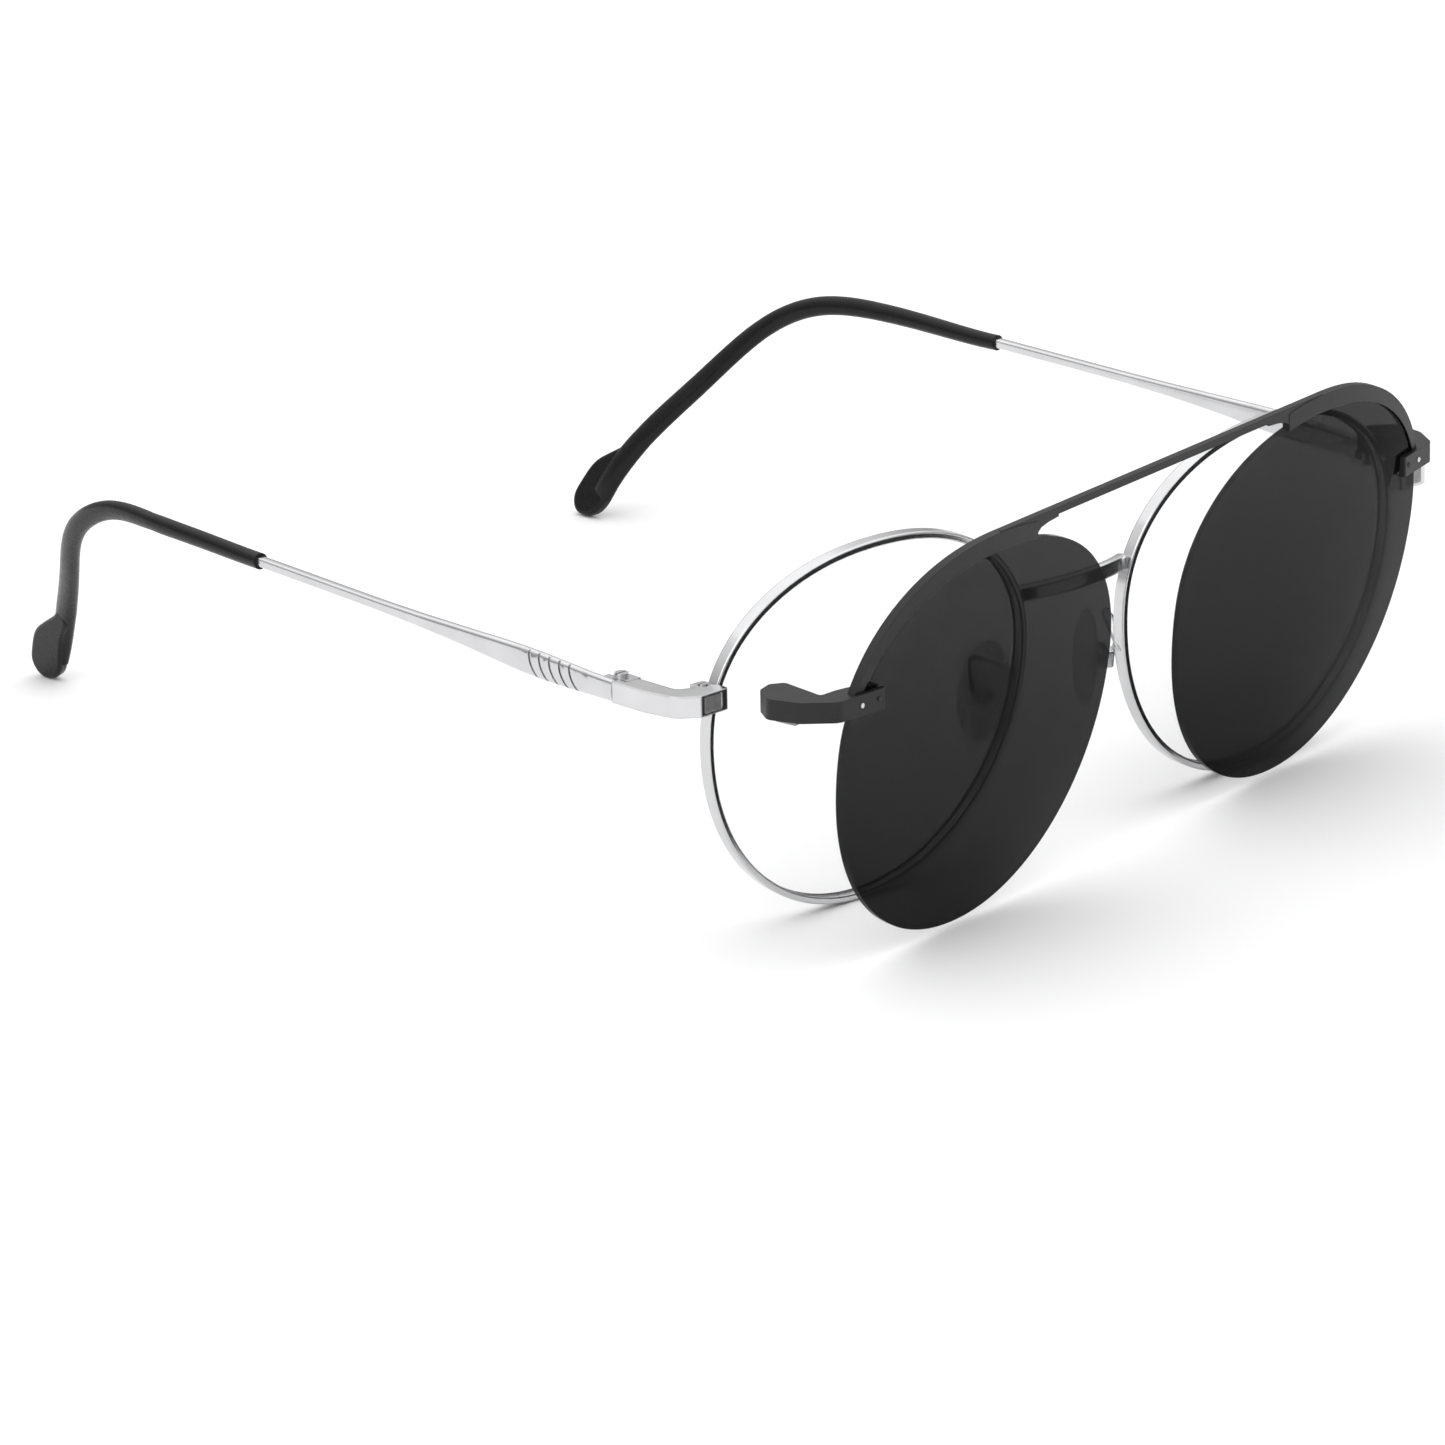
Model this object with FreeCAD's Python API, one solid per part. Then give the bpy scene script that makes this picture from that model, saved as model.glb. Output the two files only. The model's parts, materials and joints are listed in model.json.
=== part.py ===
import FreeCAD, Part
import math
import os

from FreeCAD import Placement, Rotation, Vector

# Round full-rim metal spectacles with a magnetic clip-on pair of sun lenses.
# Millimetres.  +Z is up, the front of the spectacles faces -Y, +X is the wearer's left.
# Every pair of parts is modelled on the left (+X) side and mirrored to the right.

# ---- driving dimensions: spectacle front ----
LENS_PITCH = 68.0            # lens centre to lens centre, 49 mm lens plus 19 mm bridge
LENS_CENTRE_Z = 26.74        # height of the widest line of the lenses above the rest plane
RIM_HALF_WIDTH = 25.1        # middle of the rim wire
RIM_TOP = 18.84
RIM_BOTTOM = 26.56
RIM_CURVE_TOP = 2.154        # exponent of the upper half outline (2 is an ellipse)
RIM_CURVE_BOTTOM = 2.02
RIM_BASE_RADIUS = 222.0      # sphere that the front of the lenses follows
PANTO_TILT = 3.54            # lean of the lens plane, top forward, degrees
FACE_WRAP = 2.62             # turn of each lens round the face, degrees
RIM_WIDTH = 0.95             # rim wire seen from the front
RIM_DEPTH = 1.8
CLEAR_LENS_THICK = 1.3
LENS_BITE = 0.22             # how far a clear lens sits in the rim groove

# ---- driving dimensions: bridge and pads ----
BRIDGE_Z = 32.9
BRIDGE_HEIGHT = 2.1
BRIDGE_DEPTH = 1.5
BRIDGE_FORWARD = 2.3         # how far the bridge bows ahead of its ends
BRIDGE_END_X = 9.1
PAD_CENTRE = Vector(8.9, 7.3, 19.2)
PAD_SIZE = (2.1, 6.6, 13.4)  # thickness, width, height
PAD_TURN = (-24.0, 12.0)     # pad face turned back and splayed, degrees
PAD_WIRE = 1.15

# ---- driving dimensions: end pieces and hinges ----
END_LOW = 30.8
END_HIGH = 33.45
MAGNET_X = (59.6, 62.3)
MAGNET_Z = (31.2, 33.1)
MAGNET_FACE_Y = 0.2
CLOSING_SCREW_AT = (59.6, 3.3)
HINGE_X = 64.0
HINGE_Y = 12.6
BARREL_RADIUS = 1.05
EAR_HEIGHT = 0.76
EAR_GAP = 0.06
PIN_RADIUS = 0.45
PIN_CLEARANCE = 0.04
SEAM_Y = 11.9                # end of the end piece, start of the temple
SEAM_GAP = 0.06
KNUCKLE_WALL_Y = 10.44       # rear face of the end piece's inner wall
TEMPLE_FOOT_Y = 15.9         # end of the temple ear's foot

# ---- driving dimensions: temples ----
GROOVE_COUNT = 5
GROOVE_FIRST_Y = 18.6
GROOVE_STEP = 1.75
GROOVE_RADIUS = 4.8          # each groove is an arc that sweeps forward as it runs down
GROOVE_WIDTH = 0.32
GROOVE_CENTRE_Z = 34.2
CORE_RADIUS = 0.58           # wire inside the plastic tip
TIP_RADIUS = 1.03
TIP_START_Y = 77.0
TIP_END_HALF_WIDTH = 1.7     # the sleeve where it runs into the paddle
TIP_END_THICK = 2.0
BLADE_THICK = 1.7
BLADE_LEAN = 0.30            # sideways lean of the paddle for each unit of height

# ---- driving dimensions: clip-on ----
CLIP_PITCH = 66.97           # between the centres of the sun lenses
CLIP_CENTRE_Z = 28.28
CLIP_Y = -4.1
CLIP_HALF_WIDTH = 26.1
CLIP_TOP = 20.5
CLIP_BOTTOM = 28.1
CLIP_CURVE_TOP = 2.159
CLIP_CURVE_BOTTOM = 2.073
CLIP_BASE_RADIUS = 150.0
CLIP_TILT = 7.26
CLIP_WRAP = 1.0
SUN_LENS_THICK = 0.8
HALF_RIM_SIDE = 0.75         # half rim outside the lens edge, at the temple side
HALF_RIM_CROWN = 1.95        # and at the top
HALF_RIM_DEPTH = 1.05
HALF_RIM_NOSE_END = -7.2     # from the lens centre towards the nose
HALF_RIM_LOW_END = 6.2       # above the lens centre, inside the hook
BROW_BAR_Y = (-5.8, -4.8)
BROW_BAR_Z = (49.9, 50.8)
GUSSET = ((30.0, 50.1), (26.3, 48.6), (25.5, 49.15), (24.0, 49.45), (22.0, 49.6), (22.0, 50.1),
          (30.0, 50.1))      # x, z of the web between bar and half rim
HOOK_TOP = 37.0
HOOK_HEIGHT = 2.55
SWING_PIVOT = Vector(54.2, -3.5, 0)
SWING_REST = 8.69            # degrees that the clip-on is swung off its seat as stored

BASE_SHIFT = Vector(0, -60.519, 0.1383)   # puts the origin in the middle of the base

MIRROR = Vector(1, 0, 0)
UP = Vector(0, 0, 1)
ORIGIN = Vector(0, 0, 0)


# ---------------------------------------------------------------- helpers
def mirrored(shape):
    """The right-hand copy of a left-hand shape."""
    return shape.mirror(ORIGIN, MIRROR)


def box(x, y, z):
    """Block between the given (low, high) pairs."""
    return Part.makeBox(x[1] - x[0], y[1] - y[0], z[1] - z[0], Vector(x[0], y[0], z[0]))


def upright(x, y, low, high, radius):
    """Cylinder along Z."""
    return Part.makeCylinder(radius, high - low, Vector(x, y, low), UP)


def rounded_polygon(corners):
    """Closed wire in the XY plane through (x, y, radius) corners with tangent arcs."""
    edges = []
    count = len(corners)
    starts = []
    for i in range(count):
        here = Vector(corners[i][0], corners[i][1], 0)
        before = Vector(corners[i - 1][0], corners[i - 1][1], 0)
        after = Vector(corners[(i + 1) % count][0], corners[(i + 1) % count][1], 0)
        starts.append(corner_arc(before, here, after, corners[i][2]))
    for i in range(count):
        arc_in, arc_mid, arc_out = starts[i]
        if (arc_out - arc_in).Length > 1e-6:
            edges.append(Part.Arc(arc_in, arc_mid, arc_out).toShape())
        following = starts[(i + 1) % count][0]
        if (following - arc_out).Length > 1e-6:
            edges.append(Part.LineSegment(arc_out, following).toShape())
    return Part.Wire(edges)


def corner_arc(before, here, after, radius):
    """Start, middle and end of the arc that rounds a corner."""
    to_before = (before - here).normalize()
    to_after = (after - here).normalize()
    if radius <= 0:
        return here, here, here
    half = to_before.getAngle(to_after) / 2
    reach = radius / math.tan(half)
    bisector = (to_before + to_after).normalize()
    centre = here + bisector * (radius / math.sin(half))
    return here + to_before * reach, centre - bisector * radius, here + to_after * reach


def slab(corners, low, high):
    """Rounded polygon extruded from z = low to z = high."""
    face = Part.Face(rounded_polygon(corners))
    face.translate(Vector(0, 0, low))
    return face.extrude(Vector(0, 0, high - low))


def smooth_curve(points):
    """Open spline through a few points."""
    curve = Part.BSplineCurve()
    curve.interpolate([Vector(*p) for p in points])
    return curve.toShape()


def round_bar(path_edge, radius):
    """Round wire swept along one edge."""
    start = path_edge.valueAt(path_edge.FirstParameter)
    tangent = path_edge.tangentAt(path_edge.FirstParameter)
    ring = Part.Wire([Part.makeCircle(radius, start, tangent)])
    return Part.Wire([path_edge]).makePipeShell([ring], True, True)


def safe_round(shape, radius, edges=None):
    """Fillet edges and keep one clean solid."""
    filleted = shape.makeFillet(radius, edges or shape.Edges)
    return filleted.Solids[0]


# ---------------------------------------------------------------- lens outlines
def outline_point(angle, half_width, top, bottom, power_top, power_bottom):
    """One point of the two-part superellipse outline, in the XZ plane."""
    cos_a, sin_a = math.cos(angle), math.sin(angle)
    height, power = (top, power_top) if sin_a >= 0 else (bottom, power_bottom)
    x = half_width * math.copysign(abs(cos_a) ** (2 / power), cos_a)
    z = height * math.copysign(abs(sin_a) ** (2 / power), sin_a)
    return Vector(x, 0, z)


def outline_face(size, powers, grow):
    """Flat face inside the outline, grown outward by a margin."""
    half_width, top, bottom = (value + grow for value in size)
    steps = 40
    points = [outline_point(2 * math.pi * (i + 0.5) / steps, half_width, top, bottom, *powers)
              for i in range(steps)]
    curve = Part.BSplineCurve()
    curve.interpolate(points, PeriodicFlag=True)
    return Part.Face(Part.Wire([curve.toShape()]))


def outline_prism(size, powers, grow):
    """Outline extruded along Y, deep enough for any lens curve."""
    face = outline_face(size, powers, grow)
    face.translate(Vector(0, -4, 0))
    return face.extrude(Vector(0, 16, 0))


def curved_layer(prism, base_radius, front, back):
    """Part of a prism between two concentric spheres; front and back are depths along Y."""
    centre = Vector(0, base_radius, 0)
    layer = prism.common(Part.makeSphere(base_radius - front, centre, UP, -90, 90, 360))
    return layer.cut(Part.makeSphere(base_radius - back, centre, UP, -90, 90, 360))


def lens_place(pitch, tilt, wrap, y, z):
    """Placement that carries a left lens from its own frame to the spectacle frame."""
    turn = Placement(Vector(pitch / 2, 0, 0), Rotation(UP, wrap))
    lean = Placement(Vector(0, y, z), Rotation(Vector(1, 0, 0), tilt))
    return lean.multiply(turn)


RIM_SIZE = (RIM_HALF_WIDTH, RIM_TOP, RIM_BOTTOM)
RIM_POWERS = (RIM_CURVE_TOP, RIM_CURVE_BOTTOM)
CLIP_SIZE = (CLIP_HALF_WIDTH, CLIP_TOP, CLIP_BOTTOM)
CLIP_POWERS = (CLIP_CURVE_TOP, CLIP_CURVE_BOTTOM)
RIM_PLACE = lens_place(LENS_PITCH, PANTO_TILT, FACE_WRAP, 0, LENS_CENTRE_Z)
CLIP_PLACE = lens_place(CLIP_PITCH, CLIP_TILT, CLIP_WRAP, CLIP_Y, CLIP_CENTRE_Z)


def moved(shape, place):
    """Copy of a shape at a placement."""
    copy = shape.copy()
    copy.Placement = place.multiply(copy.Placement)
    return copy


# ---------------------------------------------------------------- spectacle front
def clear_lens():
    prism = outline_prism(RIM_SIZE, RIM_POWERS, -RIM_WIDTH / 2 + LENS_BITE)
    front = (RIM_DEPTH - CLEAR_LENS_THICK) / 2
    return moved(curved_layer(prism, RIM_BASE_RADIUS, front, front + CLEAR_LENS_THICK), RIM_PLACE)


def rim(lens):
    """Rounded wire ring that follows the curve of the lens, grooved for it."""
    steps = 40
    points = [rim_path_point(2 * math.pi * (i + 0.5) / steps) for i in range(steps)]
    curve = Part.BSplineCurve()
    curve.interpolate(points, PeriodicFlag=True)
    path = Part.Wire([curve.toShape()])
    start = curve.value(curve.FirstParameter)
    across = curve.tangent(curve.FirstParameter)[0].cross(Vector(0, 1, 0)).normalize()
    section = rounded_section(start, across, Vector(0, 1, 0), RIM_WIDTH, RIM_DEPTH, 0.28)
    sweep = Part.BRepOffsetAPI.MakePipeShell(path)
    sweep.setBiNormalMode(Vector(0, 1, 0))
    sweep.add(section)
    sweep.build()
    sweep.makeSolid()
    ring = moved(sweep.shape(), RIM_PLACE)
    return max(ring.cut(lens).Solids, key=lambda solid: solid.Volume)


def rim_path_point(angle):
    """Middle of the rim section at one angle round the lens."""
    point = outline_point(angle, *RIM_SIZE, *RIM_POWERS)
    reach = point.x ** 2 + point.z ** 2
    sag = RIM_BASE_RADIUS - math.sqrt(RIM_BASE_RADIUS ** 2 - reach)
    return Vector(point.x, sag + RIM_DEPTH / 2, point.z)


def rounded_section(centre, across, along, width, depth, radius):
    """Rounded rectangle wire at a point, spanned by two unit vectors."""
    half_w, half_d = width / 2, depth / 2
    flat = rounded_polygon([(-half_w, -half_d, radius), (half_w, -half_d, radius),
                            (half_w, half_d, radius), (-half_w, half_d, radius)])
    turn = Rotation(across, along, across.cross(along), "XYZ")
    flat.Placement = Placement(centre, turn)
    return flat


def bridge(rims):
    ends = BRIDGE_END_X
    back_y = 1.35
    mid = Vector(0, back_y - BRIDGE_FORWARD, BRIDGE_Z + 0.5)
    path = Part.Arc(Vector(-ends, back_y, BRIDGE_Z), mid, Vector(ends, back_y, BRIDGE_Z)).toShape()
    section = box((-0.01, 0.01), (-BRIDGE_DEPTH / 2, BRIDGE_DEPTH / 2),
                  (-BRIDGE_HEIGHT / 2, BRIDGE_HEIGHT / 2))
    face = max(section.Faces, key=lambda f: f.CenterOfMass.x)
    wire = face.OuterWire.copy()
    wire.translate(Vector(-ends, back_y, BRIDGE_Z))
    bar = Part.Wire([path]).makePipeShell([wire], True, False)
    bar = safe_round(bar, 0.45)
    for side_rim in rims:
        bar = bar.cut(side_rim)
    return max(bar.Solids, key=lambda solid: solid.Volume)


def end_piece():
    plan = [(58.45, 0.2, 0.3), (62.9, 0.2, 0.8), (65.3, 2.1, 2.2), (66.2, 6.5, 3.0),
            (66.3, SEAM_Y, 0.1), (65.2, SEAM_Y, 0.1), (65.2, 10.4, 0.2), (63.4, 10.4, 0.4),
            (63.2, 4.2, 1.2), (60.9, 2.9, 0.4), (60.9, 4.3, 0.2), (58.9, 4.3, 0.3), (58.9, 2.2, 0.2),
            (58.45, 2.2, 0.1)]
    return slab(plan, END_LOW, END_HIGH)


def end_magnet():
    block = box(MAGNET_X, (MAGNET_FACE_Y - 0.03, 1.9), MAGNET_Z)
    return safe_round(block, 0.12)


def rim_lock():
    """Lower closing block soldered to the rim under the end piece."""
    block = box((58.95, 60.25), (2.65, 3.95), (29.6, END_LOW - 0.04))
    return safe_round(block, 0.25)


def closing_screw():
    shank = upright(*CLOSING_SCREW_AT, 29.5, 33.3, 0.33)
    head = upright(*CLOSING_SCREW_AT, 33.1, 33.6, 0.65)
    slot = box((58.9, 60.3), (3.21, 3.39), (33.45, 33.7))
    return shank.fuse(head).cut(slot).removeSplitter()


def ear(low, high, wall_y):
    """One hinge ear: a barrel slice with a web that reaches the wall of its part."""
    barrel = upright(HINGE_X, HINGE_Y, low, high, BARREL_RADIUS)
    web = box((HINGE_X - BARREL_RADIUS, HINGE_X + BARREL_RADIUS),
              (min(HINGE_Y, wall_y), max(HINGE_Y, wall_y)), (low, high))
    bore = upright(HINGE_X, HINGE_Y, low - 1, high + 1, PIN_RADIUS)
    return barrel.fuse(web).removeSplitter().cut(bore)


def front_knuckle():
    """Two ears on one base plate, soldered behind the end piece."""
    plate = box((HINGE_X - BARREL_RADIUS, HINGE_X + BARREL_RADIUS),
                (KNUCKLE_WALL_Y, KNUCKLE_WALL_Y + 0.5), (END_LOW, END_HIGH))
    lower = ear(END_LOW, END_LOW + EAR_HEIGHT, KNUCKLE_WALL_Y)
    upper = ear(END_HIGH - EAR_HEIGHT, END_HIGH, KNUCKLE_WALL_Y)
    return plate.fuse([lower, upper]).removeSplitter()


def temple_knuckle():
    """Middle ear with a foot that is soldered to the inside of the temple."""
    low = END_LOW + EAR_HEIGHT + EAR_GAP
    high = END_HIGH - EAR_HEIGHT - EAR_GAP
    foot = box((HINGE_X + 0.6, HINGE_X + 1.3), (HINGE_Y + 1.0, TEMPLE_FOOT_Y), (low, high))
    middle = ear(low, high, TEMPLE_FOOT_Y).fuse(foot).removeSplitter()
    return middle.cut(upright(HINGE_X, HINGE_Y, low - 1, high + 1, PIN_RADIUS + PIN_CLEARANCE))


def hinge_screw():
    shank = upright(HINGE_X, HINGE_Y, END_LOW + 0.05, END_HIGH, PIN_RADIUS)
    head = upright(HINGE_X, HINGE_Y, END_HIGH, END_HIGH + 0.4, 0.85)
    slot = box((HINGE_X - 1, HINGE_X + 1), (HINGE_Y - 0.11, HINGE_Y + 0.11),
               (END_HIGH + 0.2, END_HIGH + 0.5))
    return shank.fuse(head).removeSplitter().cut(slot)


# ---------------------------------------------------------------- nose pads
PAD_PLACE = Placement(PAD_CENTRE, Rotation(PAD_TURN[0], 0, PAD_TURN[1]))


def nose_pad():
    """Drop-shaped silicone pad, its face turned to the nose."""
    thick, width, height = PAD_SIZE
    body = Part.makeSphere(1.0, ORIGIN, UP, -90, 90, 360)
    stretch = FreeCAD.Matrix()
    stretch.scale(thick / 2, width / 2, height / 2)
    return moved(body.transformGeometry(stretch), PAD_PLACE)


def pad_box():
    """Small open box that grips the stem of the pad."""
    shell = box((1.4, 3.3), (-1.5, 1.5), (-1.2, 1.2))
    shell = safe_round(shell, 0.3)
    shell = shell.cut(box((0.0, 2.65), (-1.05, 1.05), (-3, 3)))
    return moved(shell, PAD_PLACE)


def pad_stem():
    """Metal eye moulded into the back of the pad."""
    eye = box((0.4, 2.1), (-0.9, 0.9), (-0.8, 0.8))
    eye = eye.cut(Part.makeCylinder(0.4, 4, Vector(1.55, -2, 0), Vector(0, 1, 0)))
    return moved(eye, PAD_PLACE)


def pad_screw():
    shank = Part.makeCylinder(0.36, 3.0, Vector(1.55, -1.5, 0), Vector(0, 1, 0))
    head = Part.makeCylinder(0.5, 0.35, Vector(1.55, -1.85, 0), Vector(0, 1, 0))
    return moved(shank.fuse(head).removeSplitter(), PAD_PLACE)


def pad_arm(lens_rim, lens):
    """Bent wire from the rim, over a loop, to the pad box."""
    box_back = PAD_PLACE.multVec(Vector(3.2, 0, 0))
    root = Vector(9.3, 1.5, 21.5)
    path = smooth_curve([root, (root.x + 0.8, 4.2, 23.9), (root.x + 2.6, 6.6, 24.4),
                         (box_back.x + 1.0, box_back.y - 0.2, 21.8), box_back])
    wire = round_bar(path, PAD_WIRE / 2).cut(lens_rim).cut(lens)
    return max(wire.Solids, key=lambda solid: solid.Volume)


# ---------------------------------------------------------------- temples
TEMPLE_STATIONS = (          # y, x of the middle, z of the middle, width, height
    (SEAM_Y + SEAM_GAP, 65.72, 32.08, 1.12, 2.62),
    (16.0, 65.71, 32.11, 1.17, 2.80),
    (20.0, 65.67, 32.19, 1.25, 3.10),
    (24.0, 65.62, 32.28, 1.30, 3.30),
    (28.0, 65.57, 32.41, 1.30, 3.28),
    (32.0, 65.52, 32.56, 1.29, 2.95),
    (36.0, 65.47, 32.72, 1.27, 2.50),
    (41.0, 65.38, 32.88, 1.25, 2.05),
    (47.0, 65.26, 33.02, 1.25, 1.62),
    (54.0, 65.06, 33.14, 1.26, 1.36),
    (62.0, 64.79, 33.25, 1.28, 1.28),
    (71.0, 64.47, 33.35, 1.28, 1.28),
    (TIP_START_Y + 3, 64.17, 33.43, 1.28, 1.28),
)
TIP_ROUTE = ((64.17, TIP_START_Y + 3, 33.43), (63.83, 88.5, 33.55), (63.35, 98.5, 33.62),
             (62.0, 108.0, 32.75), (60.06, 117.2, 28.2), (55.5, 124.8, 20.0),
             (50.9, 131.4, 12.0), (48.2, 136.9, 3.4))
BLADE_OUTLINE = ((134.2, 10.4), (137.0, 8.7), (139.0, 7.3), (141.0, 4.3), (141.8, 1.9),
                 (140.9, 0.3), (139.3, 0.0), (137.2, 0.8), (135.4, 3.4), (132.9, 8.0),
                 (131.6, 10.6), (132.3, 11.5))


def oval_wire(station):
    y, x, z, width, height = station
    points = [Vector(x + width / 2 * math.copysign(abs(math.cos(a)) ** 0.6, math.cos(a)), y,
                     z + height / 2 * math.copysign(abs(math.sin(a)) ** 0.6, math.sin(a)))
              for a in (2 * math.pi * (i + 0.5) / 16 for i in range(16))]
    curve = Part.BSplineCurve()
    curve.interpolate(points, PeriodicFlag=True)
    return Part.Wire([curve.toShape()])


def groove(index):
    """Curved cutter for one decorative groove on the outside of the temple."""
    y = GROOVE_FIRST_Y + index * GROOVE_STEP
    centre = Vector(64.0, y + 1 - GROOVE_RADIUS, GROOVE_CENTRE_Z)
    outer = Part.makeCylinder(GROOVE_RADIUS, 4, centre, Vector(1, 0, 0))
    inner = Part.makeCylinder(GROOVE_RADIUS - GROOVE_WIDTH, 4, centre, Vector(1, 0, 0))
    window = box((65.88, 68), (y - 1.5, y + 3), (30.3, 34.8))
    return outer.cut(inner).common(window)


def temple():
    """Flat grooved blade that thins to a round wire, with the core of the tip."""
    blade = Part.makeLoft([oval_wire(s) for s in TEMPLE_STATIONS], True, True)
    for index in range(GROOVE_COUNT):
        blade = blade.cut(groove(index))
    core = round_bar(smooth_curve(TIP_ROUTE), CORE_RADIUS)
    return blade.fuse(core)


def temple_tip(metal):
    """Plastic sleeve that widens into a flat paddle, slid over the wire."""
    body = sleeve().fuse(paddle()).cut(metal)
    return max(body.Solids, key=lambda solid: solid.Volume)


def sleeve():
    """Bar on the tip's route: round at its mouth and oval where it meets the paddle."""
    path = smooth_curve((Vector(64.28, TIP_START_Y, 33.4),) + TIP_ROUTE[1:])
    start, end = path.valueAt(path.FirstParameter), path.valueAt(path.LastParameter)
    first = path.tangentAt(path.FirstParameter)
    last = path.tangentAt(path.LastParameter)
    mouth = Part.makeCircle(TIP_RADIUS, start, first)
    flat = Vector(1, 0, -BLADE_LEAN)
    across = last.cross(flat)
    far = end + across.normalize() * TIP_END_HALF_WIDTH
    side = end + last.cross(across).normalize() * (TIP_END_THICK / 2)
    oval = Part.Ellipse(far, side, end).toShape()
    sweep = Part.BRepOffsetAPI.MakePipeShell(Part.Wire([path]))
    sweep.add(Part.Wire([mouth]))
    sweep.add(Part.Wire([oval]))
    sweep.build()
    sweep.makeSolid()
    return sweep.shape()


def paddle():
    """Flat end of the tip, in the plane of the last stretch of the sleeve."""
    foot = Vector(47.75, 0, 1.5)
    points = [Vector(foot.x + BLADE_LEAN * (z - foot.z), y, z) for y, z in BLADE_OUTLINE]
    curve = Part.BSplineCurve()
    curve.interpolate(points, PeriodicFlag=True)
    face = Part.Face(Part.Wire([curve.toShape()]))
    normal = Vector(1, 0, -BLADE_LEAN).normalize()
    face.translate(normal * (-BLADE_THICK / 2))
    blade = face.extrude(normal * BLADE_THICK)
    return safe_round(blade, 0.5, [edge for edge in blade.Edges if edge.isClosed()])


# ---------------------------------------------------------------- clip-on, on its seat
def sun_lens():
    prism = outline_prism(CLIP_SIZE, CLIP_POWERS, 0)
    return moved(curved_layer(prism, CLIP_BASE_RADIUS, -SUN_LENS_THICK / 2, SUN_LENS_THICK / 2),
                 CLIP_PLACE)


def half_rim():
    """Upper rim over one sun lens, from the nose side to the hook."""
    outside = (CLIP_HALF_WIDTH + HALF_RIM_SIDE, CLIP_TOP + HALF_RIM_CROWN, CLIP_BOTTOM)
    ring = outline_prism(outside, CLIP_POWERS, 0)
    ring = ring.cut(outline_prism(CLIP_SIZE, CLIP_POWERS, -LENS_BITE))
    front = -HALF_RIM_DEPTH / 2 - 0.1
    ring = curved_layer(ring, CLIP_BASE_RADIUS, front, front + HALF_RIM_DEPTH)
    window = box((HALF_RIM_NOSE_END, 40), (-20, 20), (HALF_RIM_LOW_END, 40))
    return moved(ring.common(window), CLIP_PLACE)


def brow_bar():
    """Straight bar across the top, running into both half rims."""
    reach = CLIP_PITCH / 2
    low, high = BROW_BAR_Z
    front, back = BROW_BAR_Y
    bar = box((-reach, reach), (front, back), (low, high))
    for side in (-1, 1):
        web = Part.Face(Part.makePolygon([Vector(side * x, front, z) for x, z in GUSSET]))
        bar = bar.fuse(web.extrude(Vector(0, back - front, 0)))
    return bar.removeSplitter()


def clip_bar(sun_lenses):
    """Brow bar and both half rims, one piece."""
    left = half_rim()
    body = left.fuse([mirrored(left), brow_bar()])
    for lens in sun_lenses:
        body = body.cut(lens)
    return max(body.removeSplitter().Solids, key=lambda solid: solid.Volume)


HOOK_PLAN = ((54.4, -4.2, 0.2), (61.9, -3.1, 1.6), (64.7, 0.4, 2.0), (65.7, 4.6, 1.4),
             (63.6, 7.2, 1.4), (61.2, 7.6, 0.5), (59.7, 6.4, 0.6), (61.1, 0.2, 0.4),
             (58.6, -0.1, 0.2), (53.7, -1.6, 0.2))


def hook(cutters):
    """Side hook: a front block slotted over the half rim and a tail over the end piece."""
    body = slab(HOOK_PLAN, HOOK_TOP - HOOK_HEIGHT, HOOK_TOP)
    for cutter in cutters:
        body = body.cut(cutter)
    return max(body.Solids, key=lambda solid: solid.Volume)


def hook_magnet():
    """Magnet set in the underside of the hook's tail, just proud of it."""
    return safe_round(box((61.9, 64.1), (1.6, 4.6), (HOOK_TOP - HOOK_HEIGHT - 0.7,
                                                    HOOK_TOP - HOOK_HEIGHT + 0.9)), 0.2)


def hook_screw(x, z, radius):
    """Pin through the front wall of the hook, along Y."""
    y = -4.25 + (x - 54.4) * 0.147
    return Part.makeCylinder(radius, 1.5, Vector(x, y - 0.05, z), Vector(0, 1, 0))


# ---------------------------------------------------------------- whole object
def swung(shape):
    """Clip-on shape turned from its seat to the stored, part-open place."""
    copy = shape.copy()
    copy.rotate(SWING_PIVOT, UP, SWING_REST)
    return copy


def add_pair(nodes, name, left, right=None):
    nodes[name + "_left"] = left
    nodes[name + "_right"] = right or mirrored(left)


def front_nodes(nodes):
    lens = clear_lens()
    left_rim = rim(lens)
    rims = (left_rim, mirrored(left_rim))
    magnet = end_magnet()
    screw = closing_screw()
    ends = end_piece().cut(magnet).cut(screw).cut(left_rim).Solids[0]
    lock = rim_lock().cut(screw).cut(left_rim)
    add_pair(nodes, "rim", *rims)
    add_pair(nodes, "clear_lens", lens)
    nodes["bridge"] = bridge(rims)
    add_pair(nodes, "end_piece", ends)
    add_pair(nodes, "end_piece_magnet", magnet)
    add_pair(nodes, "rim_lock_block", lock)
    add_pair(nodes, "closing_screw", screw)
    add_pair(nodes, "front_knuckle", front_knuckle())
    add_pair(nodes, "hinge_screw", hinge_screw())
    arm = pad_arm(left_rim, lens)
    holder = pad_box().cut(arm).cut(pad_screw())
    add_pair(nodes, "pad_arm", arm)
    add_pair(nodes, "pad_box", holder.Solids[0])
    add_pair(nodes, "pad_screw", pad_screw())
    stem = pad_stem()
    add_pair(nodes, "pad_stem", stem)
    add_pair(nodes, "nose_pad", nose_pad().cut(stem).Solids[0])


def temple_nodes(nodes):
    metal = temple()
    add_pair(nodes, "temple", metal)
    add_pair(nodes, "temple_knuckle", temple_knuckle().cut(metal).Solids[0])
    add_pair(nodes, "temple_tip", temple_tip(metal))


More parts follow.
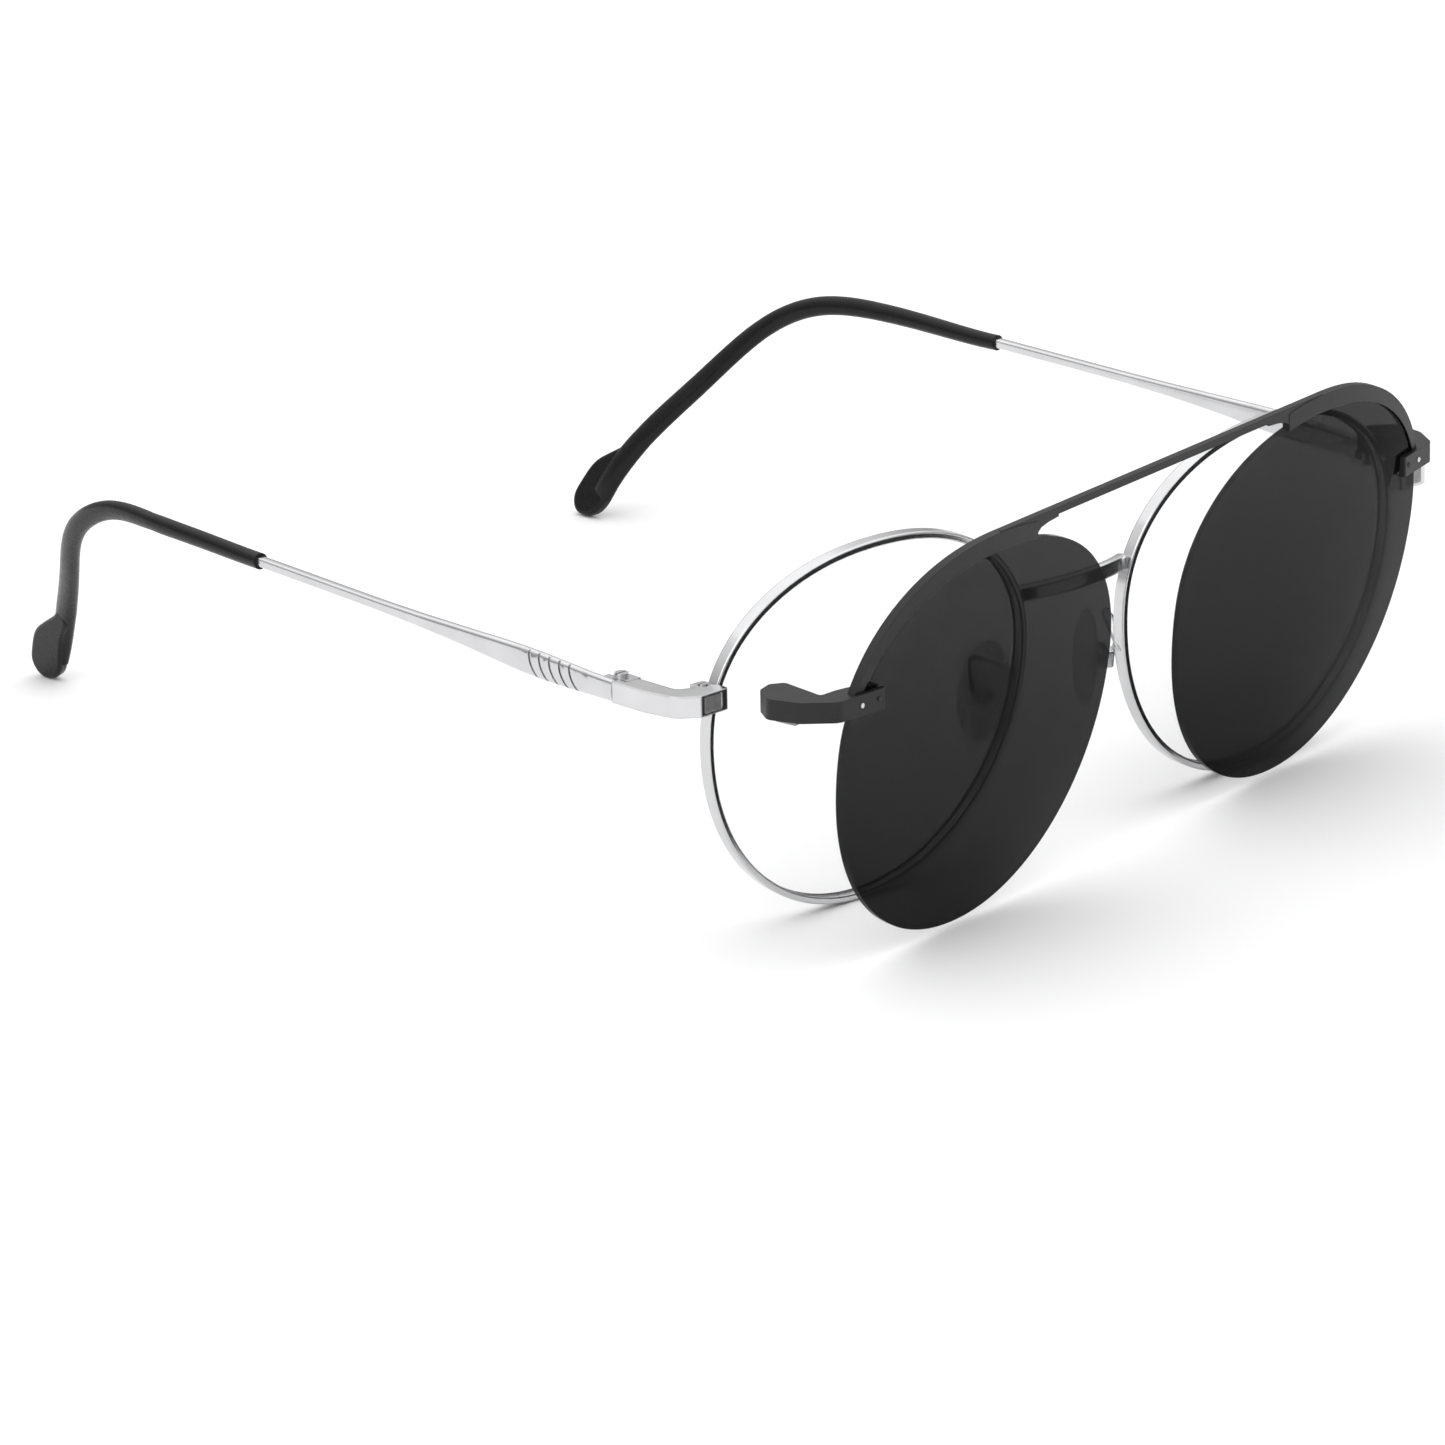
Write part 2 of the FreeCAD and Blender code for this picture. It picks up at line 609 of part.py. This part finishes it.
def clip_nodes(nodes):
    lens = sun_lens()
    bar = clip_bar((lens, mirrored(lens)))
    magnet = hook_magnet()
    screw = hook_screw(58.2, HOOK_TOP - 1.3, 0.32).cut(bar).cut(lens)
    pin = hook_screw(55.4, HOOK_TOP - 1.2, 0.3).cut(bar).cut(lens)
    side = hook((bar, lens, magnet, screw, pin))
    left = {"sun_lens": lens, "clip_hook": side, "clip_magnet": magnet,
            "clip_screw": screw, "clip_pin": pin}
    nodes["clip_bar"] = swung(bar)
    for name, shape in left.items():
        add_pair(nodes, name, swung(shape), swung(mirrored(shape)))


def build():
    nodes = {}
    front_nodes(nodes)
    temple_nodes(nodes)
    clip_nodes(nodes)
    for name in nodes:
        nodes[name] = nodes[name].translated(BASE_SHIFT)
    return nodes


def main():
    os.makedirs("parts", exist_ok=True)
    for name, shape in build().items():
        shape.exportStep("parts/" + name + ".step")


main()
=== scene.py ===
import json
import math

import bpy
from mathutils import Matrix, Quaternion, Vector


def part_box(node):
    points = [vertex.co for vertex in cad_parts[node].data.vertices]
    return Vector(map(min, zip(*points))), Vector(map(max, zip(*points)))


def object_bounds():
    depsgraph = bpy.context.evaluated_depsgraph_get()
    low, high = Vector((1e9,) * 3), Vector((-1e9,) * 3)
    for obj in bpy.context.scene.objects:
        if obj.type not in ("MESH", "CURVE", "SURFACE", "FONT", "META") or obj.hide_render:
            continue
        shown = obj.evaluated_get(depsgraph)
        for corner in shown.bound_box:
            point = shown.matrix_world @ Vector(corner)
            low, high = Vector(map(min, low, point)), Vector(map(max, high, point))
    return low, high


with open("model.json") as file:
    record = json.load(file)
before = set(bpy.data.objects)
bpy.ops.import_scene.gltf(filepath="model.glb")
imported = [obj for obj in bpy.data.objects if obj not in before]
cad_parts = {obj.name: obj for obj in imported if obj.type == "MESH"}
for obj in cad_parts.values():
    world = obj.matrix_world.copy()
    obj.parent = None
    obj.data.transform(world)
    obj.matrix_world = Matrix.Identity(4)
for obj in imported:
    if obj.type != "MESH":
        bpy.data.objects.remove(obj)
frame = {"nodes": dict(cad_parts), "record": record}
cad_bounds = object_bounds()

MM = 0.001

# ---- camera: a long lens, to the wearer's right of the front, looking down a little ----
CAMERA_AZIMUTH = -43.41
CAMERA_ELEVATION = 18.86
CAMERA_ROLL = -1.03
CAMERA_DISTANCE = 1.1098
CAMERA_LENS = 229.43
CAMERA_TARGET = Vector((-0.040634, -0.040369, 0.020138))

# ---- studio ----
FLOOR_SIZE = 8.0
KEY_PLACE = (0.1, 0.15, 1.5)
KEY_SIZE = 3.2
KEY_POWER = 16
FILL_PLACE = (-1.3, -0.2, 0.9)
FILL_SIZE = 1.2
FILL_POWER = 5
LAMP_AIM = Vector((0, 0, 0.02))
ROOM_STRENGTH = 0.95
HORIZON_GREY = 0.25
FULL_WHITE_FROM = 0.5        # height on the unit sphere where the room is fully white

# ---- how much light each surface of a sun lens stops; the lighter top is a painted reflection ----
TINT_AT_BOTTOM = 0.89
TINT_AT_TOP_WITH_PAINTED_REFLECTION = 0.80


# ---------------------------------------------------------------- materials
class Shader:
    """A Principled material and short names for the nodes that feed it."""

    def __init__(self, name, colour, metallic=0.0, roughness=0.5):
        self.material = bpy.data.materials.new(name)
        self.material.use_nodes = True
        self.tree = self.material.node_tree
        self.shader = next(n for n in self.tree.nodes if n.type == "BSDF_PRINCIPLED")
        self.colour = colour
        self.set("Base Color", (*colour, 1.0))
        self.set("Metallic", metallic)
        self.set("Roughness", roughness)
        self.place = self.add("ShaderNodeTexCoord").outputs["Object"]

    def add(self, kind, **values):
        node = self.tree.nodes.new(kind)
        for key, value in values.items():
            setattr(node, key, value)
        return node

    def set(self, socket, value):
        self.shader.inputs[socket].default_value = value

    def link(self, source, target):
        self.tree.links.new(source, target)

    def stretched(self, scale):
        """Object coordinates stretched along the axes."""
        mapping = self.add("ShaderNodeMapping")
        mapping.inputs["Scale"].default_value = scale
        self.link(self.place, mapping.inputs["Vector"])
        return mapping.outputs["Vector"]

    def noise(self, size, detail=3.0, vector=None):
        """Noise whose features are about size metres across."""
        node = self.add("ShaderNodeTexNoise")
        node.inputs["Scale"].default_value = 1.0 / size
        node.inputs["Detail"].default_value = detail
        self.link(vector or self.place, node.inputs["Vector"])
        return node.outputs["Fac"]

    def remapped(self, value, low, high, start=0.3, end=0.7):
        node = self.add("ShaderNodeMapRange")
        self.link(value, node.inputs["Value"])
        for socket, number in (("From Min", start), ("From Max", end),
                               ("To Min", low), ("To Max", high)):
            node.inputs[socket].default_value = number
        return node.outputs["Result"]

    def vary_roughness(self, value, low, high):
        self.link(self.remapped(value, low, high), self.shader.inputs["Roughness"])

    def vary_colour(self, value, low, high):
        """Runs the base colour between two brightness factors."""
        node = self.add("ShaderNodeMix", data_type="RGBA")
        node.inputs["A"].default_value = (*(c * low for c in self.colour), 1.0)
        node.inputs["B"].default_value = (*(c * high for c in self.colour), 1.0)
        self.link(self.remapped(value, 0.0, 1.0), node.inputs["Factor"])
        self.link(node.outputs["Result"], self.shader.inputs["Base Color"])

    def bump(self, value, depth, edge=None):
        """Surface relief from a value; edge is the radius that softens hard corners."""
        node = self.add("ShaderNodeBump")
        if edge:
            soft = self.add("ShaderNodeBevel")
            soft.inputs["Radius"].default_value = edge
            self.link(soft.outputs["Normal"], node.inputs["Normal"])
        node.inputs["Distance"].default_value = depth
        node.inputs["Strength"].default_value = 1.0
        self.link(value, node.inputs["Height"])
        self.link(node.outputs["Normal"], self.shader.inputs["Normal"])


def plated_silver():
    """Polished plating: faint buffing lines along the wire and soft cloudy patches."""
    made = Shader("plated_silver", (0.63, 0.63, 0.64), metallic=1.0)
    lines = made.noise(0.35 * MM, 4.0, made.stretched((1.0, 0.08, 1.0)))
    made.vary_roughness(lines, 0.16, 0.26)
    made.vary_colour(made.noise(6 * MM), 0.93, 1.04)
    made.bump(lines, 0.0012 * MM, edge=0.06 * MM)
    return made.material


def end_piece_silver():
    """The same plating on the cast end pieces, whose corners are rounded over."""
    made = Shader("end_piece_silver", (0.66, 0.66, 0.67), metallic=1.0)
    made.vary_roughness(made.noise(0.4 * MM, 4.0), 0.14, 0.24)
    made.vary_colour(made.noise(6 * MM), 0.93, 1.04)
    made.bump(made.noise(0.35 * MM), 0.0012 * MM, edge=0.35 * MM)
    return made.material


def turned_steel():
    made = Shader("turned_steel", (0.60, 0.60, 0.61), metallic=1.0)
    grain = made.noise(0.12 * MM, 3.0)
    made.vary_roughness(grain, 0.2, 0.34)
    made.vary_colour(made.noise(0.8 * MM), 0.85, 1.05)
    made.bump(grain, 0.002 * MM)
    return made.material


def coated_magnet():
    """Dark dull plating with a little mottling."""
    made = Shader("coated_magnet", (0.30, 0.30, 0.305), metallic=0.5)
    grain = made.noise(0.25 * MM, 4.0)
    made.vary_roughness(grain, 0.38, 0.55)
    made.vary_colour(made.noise(0.9 * MM), 0.8, 1.15)
    made.bump(grain, 0.004 * MM, edge=0.08 * MM)
    return made.material


def black_coating():
    """Charcoal powder coating with a very fine pebbled surface."""
    made = Shader("black_coating", (0.010, 0.010, 0.0105))
    grain = made.noise(0.10 * MM, 4.0)
    made.vary_roughness(grain, 0.36, 0.5)
    made.vary_colour(made.noise(2.5 * MM), 0.85, 1.2)
    made.bump(grain, 0.004 * MM, edge=0.12 * MM)
    made.set("Specular IOR Level", 0.35)
    return made.material


def tip_plastic():
    """Tumble-polished black plastic: gloss with slight waviness."""
    made = Shader("tip_plastic", (0.004, 0.004, 0.0043))
    swell = made.noise(2.2 * MM, 1.0)
    made.vary_roughness(made.noise(0.7 * MM), 0.24, 0.34)
    made.vary_colour(made.noise(5 * MM), 0.8, 1.3)
    made.bump(swell, 0.012 * MM, edge=0.3 * MM)
    made.set("Specular IOR Level", 0.22)
    return made.material


def silicone():
    """Milky soft silicone, clear enough to show what is behind it."""
    made = Shader("silicone", (0.82, 0.82, 0.80))
    cloud = made.noise(1.6 * MM)
    made.vary_roughness(cloud, 0.22, 0.36)
    made.vary_colour(cloud, 0.94, 1.05)
    made.bump(made.noise(0.3 * MM), 0.004 * MM)
    made.set("Alpha", 0.55)
    return made.material


def clear_lens():
    """Bare demonstration lens: almost nothing but a trace of coating."""
    made = Shader("clear_lens", (0.9, 0.92, 0.92))
    smear = made.noise(9 * MM, 2.0)
    made.vary_roughness(smear, 0.02, 0.05)
    made.vary_colour(smear, 0.97, 1.03)
    made.set("Alpha", 0.05)
    return made.material


def sun_lens():
    """Dark grey tint, darker towards the bottom of the lens: the lighter top is a painted
    reflection.
    """
    low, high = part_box("sun_lens_left")
    made = Shader("sun_lens", (0.003, 0.003, 0.0032))
    split = made.add("ShaderNodeSeparateXYZ")
    made.link(made.place, split.inputs["Vector"])
    # alpha thins towards the top as a painted reflection of the bright room, while the
    # real reflection is turned almost off
    tint_and_painted_reflection = made.remapped(split.outputs["Z"], TINT_AT_BOTTOM, TINT_AT_TOP_WITH_PAINTED_REFLECTION, low[2], high[2])
    made.link(tint_and_painted_reflection, made.shader.inputs["Alpha"])
    smear = made.noise(12 * MM, 2.0)
    made.vary_roughness(smear, 0.03, 0.06)
    made.set("Specular IOR Level", 0.02)
    return made.material


def floor_paper():
    made = Shader("floor_paper", (0.93, 0.93, 0.93), roughness=0.9)
    made.bump(made.noise(0.5 * MM), 0.01 * MM)
    made.set("Specular IOR Level", 0.1)
    return made.material


SLOT_MATERIALS = {
    "silver": plated_silver(),
    "steel_screw": turned_steel(),
    "magnet": coated_magnet(),
    "black_metal": black_coating(),
    "tip_plastic": tip_plastic(),
    "silicone": silicone(),
    "clear_lens": clear_lens(),
    "sun_lens": sun_lens(),
}
CAST_SILVER = end_piece_silver()
NODE_MATERIALS = {f"end_piece_{side}": CAST_SILVER for side in ("left", "right")}


def dress_nodes():
    """Gives every CAD node the material of its slot, or its own where it has one."""
    slots = {part["node"]: part["material_slot"] for part in frame["record"]["subparts"]}
    for name, node in frame["nodes"].items():
        node.data.materials.clear()
        node.data.materials.append(NODE_MATERIALS.get(name) or SLOT_MATERIALS[slots[name]])


# ---------------------------------------------------------------- studio
def add_floor():
    bpy.ops.mesh.primitive_plane_add(size=FLOOR_SIZE, location=(0, 0, cad_bounds[0][2]))
    floor = bpy.context.object
    floor.name = "floor"
    floor.data.materials.append(floor_paper())


def add_area(name, place, size, power):
    """Soft square lamp aimed at the object."""
    lamp = bpy.data.lights.new(name, "AREA")
    lamp.size = size
    lamp.energy = power
    holder = bpy.data.objects.new(name, lamp)
    holder.location = place
    aim = LAMP_AIM - Vector(place)
    holder.rotation_euler = aim.to_track_quat("-Z", "Y").to_euler()
    bpy.context.collection.objects.link(holder)


def add_world():
    """White room, a little darker near the horizon so that metal shows its shape."""
    world = bpy.data.worlds.new("studio")
    bpy.context.scene.world = world
    world.use_nodes = True
    tree = world.node_tree
    backdrop = next(n for n in tree.nodes if n.type == "BACKGROUND")
    place = tree.nodes.new("ShaderNodeTexCoord")
    split = tree.nodes.new("ShaderNodeSeparateXYZ")
    ramp = tree.nodes.new("ShaderNodeValToRGB")
    tree.links.new(place.outputs["Generated"], split.inputs["Vector"])
    tree.links.new(split.outputs["Z"], ramp.inputs["Fac"])
    tree.links.new(ramp.outputs["Color"], backdrop.inputs["Color"])
    first, last = ramp.color_ramp.elements
    first.position, first.color = 0.0, (HORIZON_GREY, HORIZON_GREY, HORIZON_GREY, 1)
    last.position, last.color = FULL_WHITE_FROM, (1.0, 1.0, 1.0, 1)
    backdrop.inputs["Strength"].default_value = ROOM_STRENGTH


def add_camera():
    azimuth, elevation = math.radians(CAMERA_AZIMUTH), math.radians(CAMERA_ELEVATION)
    back = Vector((math.sin(azimuth) * math.cos(elevation),
                   -math.cos(azimuth) * math.cos(elevation), math.sin(elevation)))
    data = bpy.data.cameras.new("camera")
    data.lens = CAMERA_LENS
    data.clip_start = 0.05
    camera = bpy.data.objects.new("camera", data)
    camera.location = CAMERA_TARGET + back * CAMERA_DISTANCE
    aim = (-back).to_track_quat("-Z", "Y")
    roll = Quaternion((0, 0, 1), math.radians(CAMERA_ROLL))
    camera.rotation_euler = (aim @ roll).to_euler()
    bpy.context.collection.objects.link(camera)
    bpy.context.scene.camera = camera


dress_nodes()
add_floor()
add_area("key", KEY_PLACE, KEY_SIZE, KEY_POWER)
add_area("fill", FILL_PLACE, FILL_SIZE, FILL_POWER)
add_world()
add_camera()
bpy.context.scene.view_settings.view_transform = "Standard"
